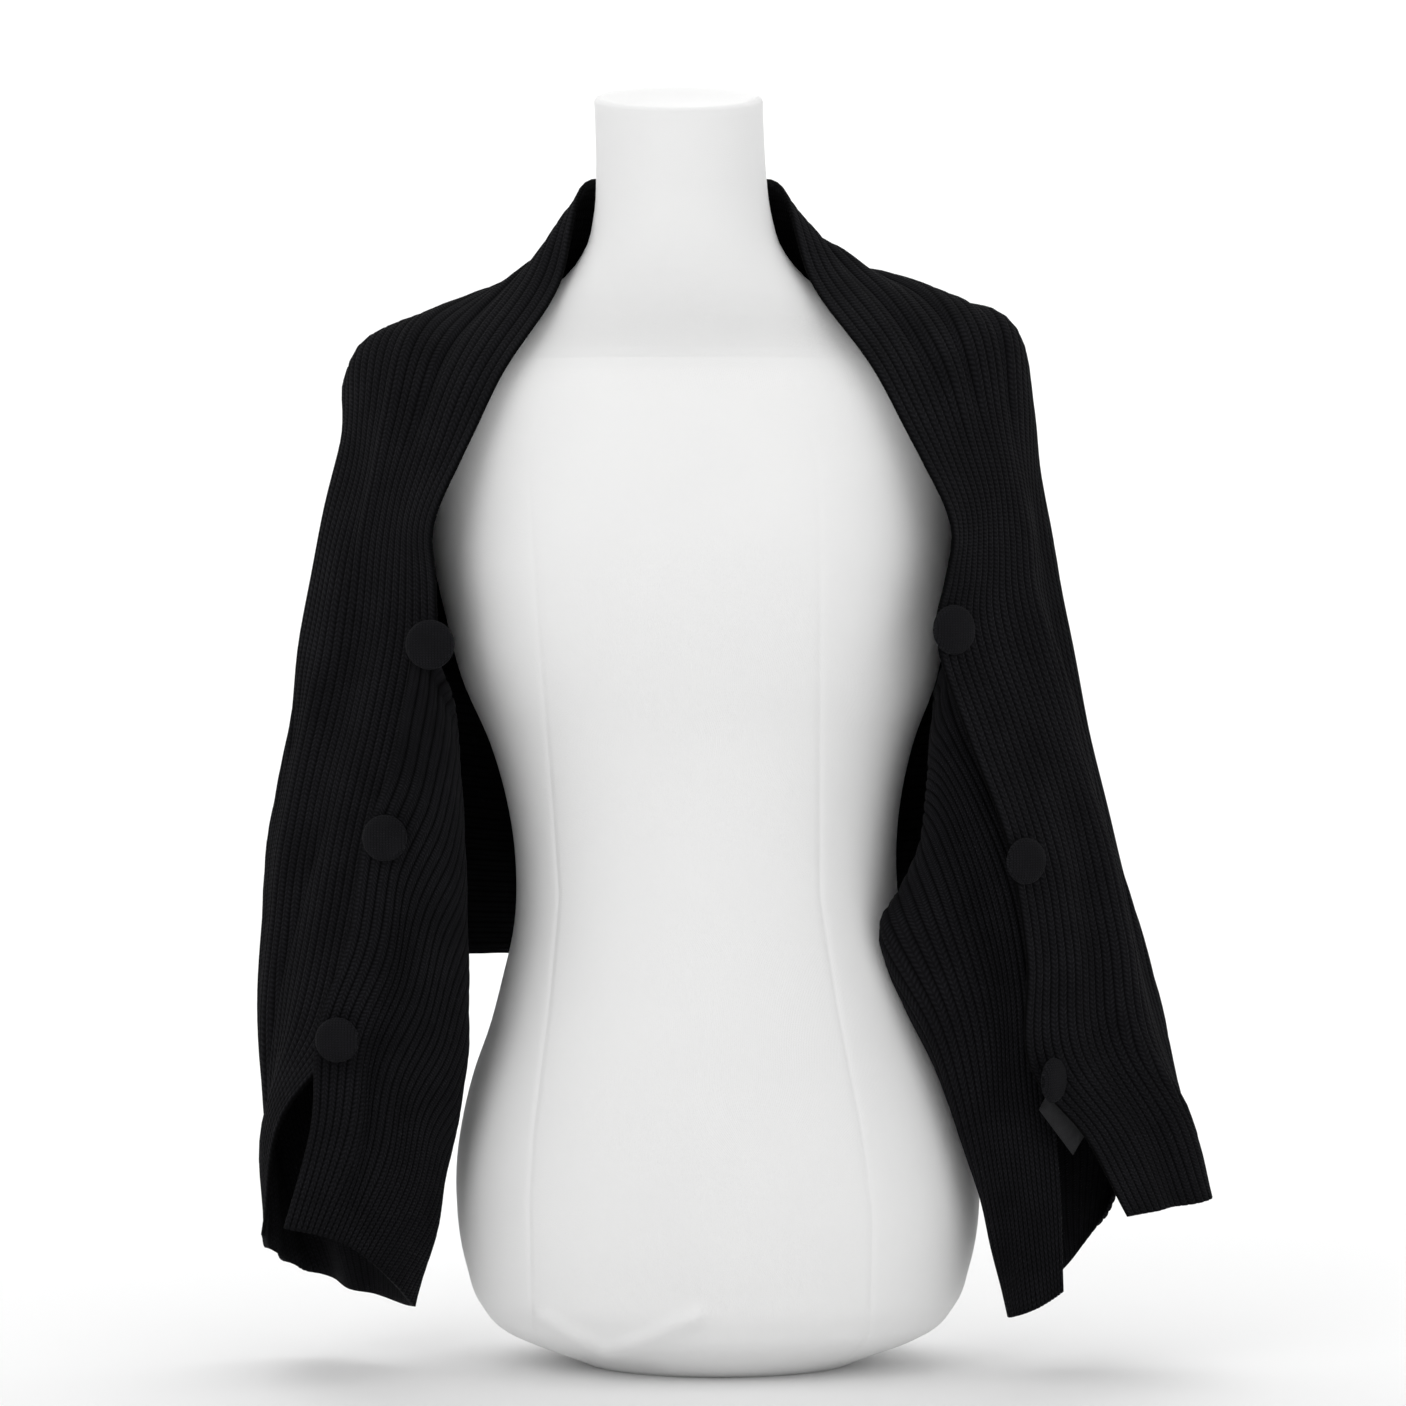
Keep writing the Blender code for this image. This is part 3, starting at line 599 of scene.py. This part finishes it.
def cover_mesh(look):
    """The form's jersey cover, with its seams sunk between soft puffs."""
    rows = form_rows()
    points = []
    uvs = []
    for height, half, front, back, power in rows:
        seams = seam_angles(height, half, power)
        strength = np.interp(height, *zip(*SEAM_STRENGTH))
        girth = math.pi * (half + (front + back) / 2)
        ring = []
        for k in range(len(seams)):
            start = seams[k]
            end = seams[(k + 1) % len(seams)] + (2 * math.pi if k == len(seams) - 1 else 0)
            span = (end - start) / (2 * math.pi) * girth
            edge = np.array(SEAM_COLUMNS) * min(1.0, span / SEAM_SPAN)
            between = SECTOR_COLUMNS - 2 * len(SEAM_COLUMNS) + 4
            middle = np.linspace(edge[-1], span - edge[-1], between)
            places = np.concatenate([edge[:-1], middle, span - edge[-2:0:-1]])
            for place in places:
                to_seam = min(place, span - place) * MM
                nearest = k if place < span / 2 else (k + 1) % len(seams)
                share = strength * (MIDDLE_SEAM if nearest in (2, 6) else 1.0)
                sink = -SEAM_DEPTH * math.exp(-((to_seam / SEAM_HALF) ** 2))
                aside = (to_seam - SEAM_PUFF_HALF / 2) / SEAM_PUFF_HALF
                puff = SEAM_PUFF * math.exp(-(aside**2))
                ring.append((start + (end - start) * place / span, share * (sink + puff)))
        for angle, rise in ring:
            c = math.cos(angle)
            s = math.sin(angle)
            x = half * math.copysign(abs(c) ** (2 / power), c)
            y = math.copysign(abs(s) ** (2 / power), s) * (back if s > 0 else front)
            raised = max(height * MM - NECK_TILT_FROM, 0.0) / (NECK_TOP - NECK_TILT_FROM)
            z = height + NECK_TILT * min(raised, 1.0) * y
            if s < 0 and height < WRINKLE_TOP:
                rise += wrinkle_height(x, height) * MM
            if height > NECK_TOP / MM - RIM_TOP:
                rise = 0.0
            outward = np.array([c, s])
            place = np.array([x * MM + outward[0] * rise, y * MM + outward[1] * rise, z * MM])
            place[0] += lean(place[2])
            points.append(place)
            uvs.append((angle * girth / (2 * math.pi) * MM, height * MM))
    count = len(ring)
    faces = [tuple(reversed(range(count)))]
    for r in range(len(rows) - 1):
        for k in range(count):
            a = r * count + k
            b = r * count + (k + 1) % count
            faces.append((a, b, b + count, a + count))
    middle = len(points)
    start = (len(rows) - 1) * count
    points.append(np.mean(points[start:], axis=0))
    uvs.append((0.0, NECK_TOP))
    for k in range(count):
        faces.append((start + k, start + (k + 1) % count, middle))
    return mesh_object("form_cover", points, faces, look, uvs)


def rib_columns():
    """v of each column of the mesh and how high its rib stands there."""
    v = []
    height = []
    for rib in range(RIBS):
        for step, share in zip(RIB_STEPS, RIB_PROFILE):
            v.append((rib + step) / RIBS)
            height.append(share)
    return np.array(v + [1.0]), np.array(height + [0.0])


def knit_faces(outer, inner, closed_first, closed_last):
    """Faces of one length of the panel. The inner wall has one column for each rib.

    `closed_first` and `closed_last` say, rib by rib, where the end rows need an edge.
    """
    faces = []
    rows, columns = outer.shape
    step = len(RIB_STEPS)
    for r in range(rows - 1):
        for c in range(columns - 1):
            faces.append((outer[r, c], outer[r + 1, c], outer[r + 1, c + 1], outer[r, c + 1]))
        for c in range(inner.shape[1] - 1):
            faces.append((inner[r, c], inner[r, c + 1], inner[r + 1, c + 1], inner[r + 1, c]))
        faces.append((outer[r, 0], inner[r, 0], inner[r + 1, 0], outer[r + 1, 0]))
        faces.append((outer[r, -1], outer[r + 1, -1], inner[r + 1, -1], inner[r, -1]))
    for c in range(inner.shape[1] - 1):
        if closed_first[c]:
            first = list(outer[0, c * step:(c + 1) * step + 1])
            faces.append(tuple(first + [inner[0, c + 1], inner[0, c]]))
        if closed_last[c]:
            last = list(outer[-1, c * step:(c + 1) * step + 1])
            faces.append(tuple(reversed(last + [inner[-1, c + 1], inner[-1, c]])))
    return [tuple(int(i) for i in face) for face in faces]


def shrug_mesh(look, tree):
    """The whole shrug as one sheet: the back runs on into each sleeve along the kept ribs."""
    v, height = rib_columns()
    step = len(RIB_STEPS)
    kept = int(KEPT_V * RIBS) * step + 1
    whole = np.linspace(-SLEEVE_START, SLEEVE_START, 2 * round(SLEEVE_START / ROW_STEP) + 1)
    down = np.linspace(SLEEVE_START, SLEEVE_END, round((SLEEVE_END - SLEEVE_START) / ROW_STEP) + 1)
    points = []
    uvs = []
    faces = []

    def add(grid, normals, distances):
        outer = grid + normals * (WALL + RIB_HEIGHT * height)[None, :, None]
        first = len(points)
        points.extend(outer.reshape(-1, 3))
        second = len(points)
        points.extend(grid[:, ::step].reshape(-1, 3))
        place = np.stack(np.meshgrid(distances, v * RIBS, indexing="ij"), axis=-1)
        uvs.extend(place.reshape(-1, 2))
        uvs.extend(place[:, ::step].reshape(-1, 2))
        rows, columns = grid.shape[:2]
        few = len(range(0, columns, step))
        return (
            first + np.arange(rows * columns).reshape(rows, columns),
            second + np.arange(rows * few).reshape(rows, few),
        )

    free = np.arange(RIBS) >= (kept - 1) // step
    every = np.ones(RIBS, bool)
    back, back_out = back_grid(whole, v, tree)
    back_outer, back_inner = add(back, back_out, whole)
    faces += knit_faces(back_outer, back_inner, free, free)
    for side, end in ((1, -1), (-1, 0)):
        grid, normals = sleeve_grid(side, down, v, tree, back[end], back_out[end])
        outer, inner = add(grid, normals, side * down)
        outer[0, :kept] = back_outer[end, :kept]
        inner[0, :(kept - 1) // step + 1] = back_inner[end, :(kept - 1) // step + 1]
        if side > 0:
            faces += knit_faces(outer, inner, free, every)
        else:
            faces += knit_faces(outer[::-1], inner[::-1], every, free)
    used = np.zeros(len(points), bool)
    for face in faces:
        used[list(face)] = True
    new = np.cumsum(used) - 1
    faces = [tuple(int(new[i]) for i in face) for face in faces]
    points = np.array(points)[used]
    return mesh_object("shrug", points, faces, look, np.array(uvs)[used])


def button_mesh(name, side, x, z, diameter, turn, look, tree):
    """A domed button covered in fine knit, gathered in towards its rim."""
    turned = math.radians(turn)
    out = Vector((side * math.sin(turned), -math.cos(turned), 0.0))
    middle = Vector((side * x * MM + lean(z * MM), -BUTTON_REACH, z * MM))
    hit, _, _, _ = tree.ray_cast(middle - Vector((0, BUTTON_REACH, 0)), Vector((0, 1, 0)))
    radius = diameter / 2 * MM
    tangent = Vector((0, 0, 1))
    other = out.cross(tangent)
    shares = np.array([0.0] + [share for share, _ in BUTTON_PROFILE] + [0.0])
    heights = np.array([0.0] + [height for _, height in BUTTON_PROFILE] + [1.0])
    highest = -BUTTON_HEIGHT
    for ring in np.linspace(0.0, 1.0, SEAT_RINGS):
        raised = float(np.interp(ring, shares[1:4], heights[1:4]))
        for k in range(SEAT_ANGLES):
            angle = 2 * math.pi * k / SEAT_ANGLES
            aside = (tangent * math.cos(angle) + other * math.sin(angle)) * radius * ring
            found, _, _, distance = tree.ray_cast(hit + aside + out * BUTTON_REACH, -out)
            if found is not None:
                highest = max(highest, BUTTON_REACH - distance - raised * BUTTON_HEIGHT)
    start = hit + out * (highest + BUTTON_GAP)
    knots = np.arange(len(shares))
    along = np.linspace(0, knots[-1], BUTTON_RINGS + 1)[1:-1]
    places = hermite(knots, np.stack([shares, heights], axis=1), along)
    points = [start]
    uvs = [(0.0, 0.0)]
    for share, height in places:
        share = min(max(share, 0.01), 1.0)
        edge = math.exp(-(((height - 0.55) / 0.3) ** 2)) * smooth(share)
        for k in range(BUTTON_SEGMENTS):
            angle = 2 * math.pi * k / BUTTON_SEGMENTS
            fold = GATHER_DEPTH * edge * math.cos(GATHERS * angle + math.sin(3 * angle))
            aside = tangent * math.cos(angle) + other * math.sin(angle)
            reach = radius * share - abs(fold) * 0.5
            points.append(start + aside * reach + out * (BUTTON_HEIGHT * height + fold * 0.5))
            uvs.append((math.cos(angle) * radius * share, math.sin(angle) * radius * share))
    points.append(start + out * BUTTON_HEIGHT)
    uvs.append((0.0, 0.0))
    count = BUTTON_SEGMENTS
    faces = []
    for k in range(count):
        after = (k + 1) % count
        faces.append((0, 1 + after, 1 + k))
        for r in range(len(places) - 1):
            a = 1 + r * count
            faces.append((a + k, a + after, a + count + after, a + count + k))
        a = 1 + (len(places) - 1) * count
        faces.append((a + k, a + after, len(points) - 1))
    return mesh_object(name, points, faces, look, uvs)


def label_mesh(look):
    """A blank woven label, bowed a little along its length."""
    corners = np.array(LABEL_CORNERS, float) * MM
    corners[:, 0] += lean(corners[:, 2])
    across, down = LABEL_GRID
    front = []
    behind = []
    uvs = []
    for j in range(down):
        t = j / (down - 1)
        for i in range(across):
            s = i / (across - 1)
            top = corners[0] * (1 - s) + corners[1] * s
            low = corners[3] * (1 - s) + corners[2] * s
            place = top * (1 - t) + low * t
            place[1] += LABEL_BOW * (math.sin(math.pi * t) * 0.6 - 0.4 * math.sin(2 * math.pi * s) * t)
            front.append(place)
            behind.append(place + np.array([0.0, LABEL_THICKNESS, 0.0]))
            uvs.append((s, t))
    count = across * down
    faces = []
    for j in range(down - 1):
        for i in range(across - 1):
            a = j * across + i
            faces.append((a, a + across, a + across + 1, a + 1))
            faces.append((a + count, a + count + 1, a + count + across + 1, a + count + across))
    rim = list(range(across)) + [j * across + across - 1 for j in range(1, down)]
    rim += [(down - 1) * across + i for i in range(across - 2, -1, -1)]
    rim += [j * across for j in range(down - 2, 0, -1)]
    for k in range(len(rim)):
        a = rim[k]
        b = rim[(k + 1) % len(rim)]
        faces.append((a, b, b + count, a + count))
    return mesh_object("satin_label", front + behind, faces, look, uvs + uvs)


def node(tree, kind, **settings):
    made = tree.nodes.new(kind)
    for key, value in settings.items():
        setattr(made, key, value)
    return made


def maths(tree, operation, first, second=None):
    """A math node fed by sockets or plain numbers, and its output."""
    made = node(tree, "ShaderNodeMath", operation=operation)
    for index, value in enumerate((first, second)):
        if value is None:
            continue
        if isinstance(value, (int, float)):
            made.inputs[index].default_value = value
        else:
            tree.links.new(value, made.inputs[index])
    return made.outputs[0]


def ramp(tree, value, low, high):
    """A colour that goes from `low` to `high` as `value` goes from 0 to 1."""
    made = node(tree, "ShaderNodeMix", data_type="RGBA")
    tree.links.new(value, made.inputs["Factor"])
    made.inputs["A"].default_value = (*low, 1.0)
    made.inputs["B"].default_value = (*high, 1.0)
    return made.outputs["Result"]


def noise(tree, place, scale, detail=3.0):
    made = node(tree, "ShaderNodeTexNoise")
    made.inputs["Scale"].default_value = scale
    made.inputs["Detail"].default_value = detail
    tree.links.new(place, made.inputs["Vector"])
    return made.outputs[0]


def start_material(name, roughness):
    made = bpy.data.materials.new(name)
    made.use_nodes = True
    tree = made.node_tree
    shader = tree.nodes["Principled BSDF"]
    shader.inputs["Roughness"].default_value = roughness
    return made, tree, shader


def add_bump(tree, shader, height, distance, strength=1.0):
    bump = node(tree, "ShaderNodeBump")
    bump.inputs["Distance"].default_value = distance
    bump.inputs["Strength"].default_value = strength
    tree.links.new(height, bump.inputs["Height"])
    tree.links.new(bump.outputs["Normal"], shader.inputs["Normal"])


def knit_material(name, rib_scale, stitch, dark, light, sheen, depth):
    """Rib knit: V-shaped stitches up each rib, with fine loose fibres. Its colour holds painted shade in
    the grooves between ribs and between the stitches.

    The cloth's places hold metres along the ribs and `rib_scale` gives ribs for each unit across.
    """
    made, tree, shader = start_material(name, 0.82)
    shader.inputs["Sheen Weight"].default_value = sheen
    shader.inputs["Sheen Roughness"].default_value = 0.55
    shader.inputs["Specular IOR Level"].default_value = 0.03
    place = node(tree, "ShaderNodeUVMap", uv_map="cloth").outputs[0]
    parts = node(tree, "ShaderNodeSeparateXYZ")
    tree.links.new(place, parts.inputs[0])
    across = maths(tree, "FRACT", maths(tree, "MULTIPLY", parts.outputs[1], rib_scale))
    aside = maths(tree, "ABSOLUTE", maths(tree, "SUBTRACT", across, 0.5))
    along = maths(tree, "DIVIDE", parts.outputs[0], stitch)
    slanted = maths(tree, "ADD", along, maths(tree, "MULTIPLY", aside, 1.6))
    loop = maths(tree, "SINE", maths(tree, "MULTIPLY", slanted, 2 * math.pi))
    loop = maths(tree, "MULTIPLY", maths(tree, "ADD", loop, 1.0), 0.5)
    valley = maths(tree, "SMOOTH_MIN", maths(tree, "MULTIPLY", aside, 9.0), 1.0)
    stitches = maths(tree, "MULTIPLY", loop, valley)
    spot = node(tree, "ShaderNodeTexCoord").outputs["Object"]
    fibres = noise(tree, spot, 2600.0, 2.0)
    patches = noise(tree, spot, 34.0, 4.0)
    height = maths(tree, "ADD", stitches, maths(tree, "MULTIPLY", fibres, 0.55))
    add_bump(tree, shader, height, depth)
    # Base colour: painted shade, darker between the legs of each stitch and lighter on the raised
    # stitches; the fibres and patches vary the tone at random
    tone = maths(tree, "MULTIPLY", maths(tree, "ADD", stitches, fibres), 0.5)
    # Painted shade: the colour darkens towards the groove between ribs
    groove_shade = maths(tree, "POWER", maths(tree, "MULTIPLY", aside, 2.0), 4.0)
    tone = maths(tree, "MULTIPLY", tone, maths(tree, "SUBTRACT", 1.0, groove_shade))
    tone = maths(tree, "MULTIPLY", tone, maths(tree, "ADD", patches, 0.35))
    tree.links.new(ramp(tree, tone, dark, light), shader.inputs["Base Color"])
    return made


def cover_material():
    """White jersey: a fine regular knit with slight shading of its own."""
    made, tree, shader = start_material("white_jersey", 0.78)
    shader.inputs["Sheen Weight"].default_value = 0.12
    shader.inputs["Specular IOR Level"].default_value = 0.3
    place = node(tree, "ShaderNodeUVMap", uv_map="cloth").outputs[0]
    parts = node(tree, "ShaderNodeSeparateXYZ")
    tree.links.new(place, parts.inputs[0])
    pitch = 2 * math.pi / JERSEY_STITCH
    rows = maths(tree, "SINE", maths(tree, "MULTIPLY", parts.outputs[0], pitch))
    courses = maths(tree, "SINE", maths(tree, "MULTIPLY", parts.outputs[1], pitch * 1.25))
    weave = maths(tree, "MULTIPLY", rows, courses)
    spot = node(tree, "ShaderNodeTexCoord").outputs["Object"]
    fine = noise(tree, spot, 1500.0, 2.0)
    soft = noise(tree, spot, 9.0, 2.0)
    height = maths(tree, "ADD", maths(tree, "MULTIPLY", weave, 0.4), fine)
    add_bump(tree, shader, height, 0.12 * MM, 0.8)
    colour = ramp(tree, soft, (0.84, 0.84, 0.84), (0.90, 0.90, 0.895))
    tree.links.new(colour, shader.inputs["Base Color"])
    return made


def satin_material():
    """Black woven satin: close threads across the label."""
    made, tree, shader = start_material("black_satin_weave", 0.42)
    shader.inputs["Sheen Weight"].default_value = 0.02
    shader.inputs["Specular IOR Level"].default_value = 0.35
    place = node(tree, "ShaderNodeUVMap", uv_map="cloth").outputs[0]
    parts = node(tree, "ShaderNodeSeparateXYZ")
    tree.links.new(place, parts.inputs[0])
    threads = maths(tree, "SINE", maths(tree, "MULTIPLY", parts.outputs[1], 520.0))
    cross = maths(tree, "SINE", maths(tree, "MULTIPLY", parts.outputs[0], 300.0))
    height = maths(tree, "ADD", threads, maths(tree, "MULTIPLY", cross, 0.5))
    add_bump(tree, shader, height, 0.08 * MM)
    spot = node(tree, "ShaderNodeTexCoord").outputs["Object"]
    tone = noise(tree, spot, 300.0)
    colour = ramp(tree, tone, (0.006, 0.006, 0.007), (0.025, 0.025, 0.028))
    tree.links.new(colour, shader.inputs["Base Color"])
    return made


def plain_material(name, colour, roughness):
    made, _, shader = start_material(name, roughness)
    shader.inputs["Base Color"].default_value = (*colour, 1.0)
    return made


def backdrop():
    """A pale floor that curves up into a wall behind."""
    flat = WALL_Y - COVE
    outline = [(-BACKDROP_HALF, 0.0), (flat, 0.0)]
    for k in range(1, COVE_STEPS + 1):
        angle = math.pi / 2 * k / COVE_STEPS
        outline.append((flat + COVE * math.sin(angle), COVE - COVE * math.cos(angle)))
    outline.append((WALL_Y, WALL_TOP))
    points = [(x, y, z) for y, z in outline for x in (-BACKDROP_HALF, BACKDROP_HALF)]
    faces = [(2 * k, 2 * k + 1, 2 * k + 3, 2 * k + 2) for k in range(len(outline) - 1)]
    look = plain_material("pale_backdrop", (0.93, 0.93, 0.93), 0.9)
    made = mesh_object("backdrop", points, faces, look)
    return made


def area_light(name, place, target, size, power):
    data = bpy.data.lights.new(name, "AREA")
    data.shape = "RECTANGLE"
    data.size = size[0]
    data.size_y = size[1]
    data.energy = power
    made = bpy.data.objects.new(name, data)
    made.location = place
    made.rotation_euler = (Vector(target) - Vector(place)).to_track_quat("-Z", "Y").to_euler()
    bpy.context.scene.collection.objects.link(made)
    return made


cover = cover_mesh(cover_material())
yarn = knit_material(
    "black_rib_knit", 1.0, STITCH,
    (0.0012, 0.0012, 0.0014), (0.016, 0.016, 0.0185), 0.006, 0.28 * MM,
)
shrug = shrug_mesh(yarn, tree_of(cover))
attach(cover, "root")
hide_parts("dress_form")
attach(shrug, "root")
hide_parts("back_panel", "sleeve_left", "sleeve_right")

shrug_tree = tree_of(shrug)
fine_knit = knit_material(
    "black_fine_knit", 1 / FINE_RIB, FINE_STITCH,
    (0.002, 0.002, 0.0023), (0.02, 0.02, 0.023), 0.01, 0.2 * MM,
)
for name, side, x, z, diameter, turn in BUTTONS:
    made = button_mesh("covered_" + name, side, x, z, diameter, turn, fine_knit, shrug_tree)
    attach(made, "root")
    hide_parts(name)
tab = label_mesh(satin_material())
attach(tab, "root")
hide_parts("label")

backdrop()
for name, place, target, size, power in LIGHTS:
    area_light(name, place, target, size, power)
world = bpy.data.worlds.new("studio")
bpy.context.scene.world = world
world.use_nodes = True
world.node_tree.nodes["Background"].inputs["Color"].default_value = (1.0, 1.0, 1.0, 1.0)
world.node_tree.nodes["Background"].inputs["Strength"].default_value = SKY

bpy.context.scene.view_settings.view_transform = "Standard"

camera_data = bpy.data.cameras.new("camera")
camera_data.lens = CAMERA_LENS
camera_data.sensor_width = CAMERA_SENSOR
camera = bpy.data.objects.new("camera", camera_data)
camera.location = CAMERA_PLACE
camera.rotation_euler = (math.pi / 2, 0.0, 0.0)
bpy.context.scene.collection.objects.link(camera)
bpy.context.scene.camera = camera
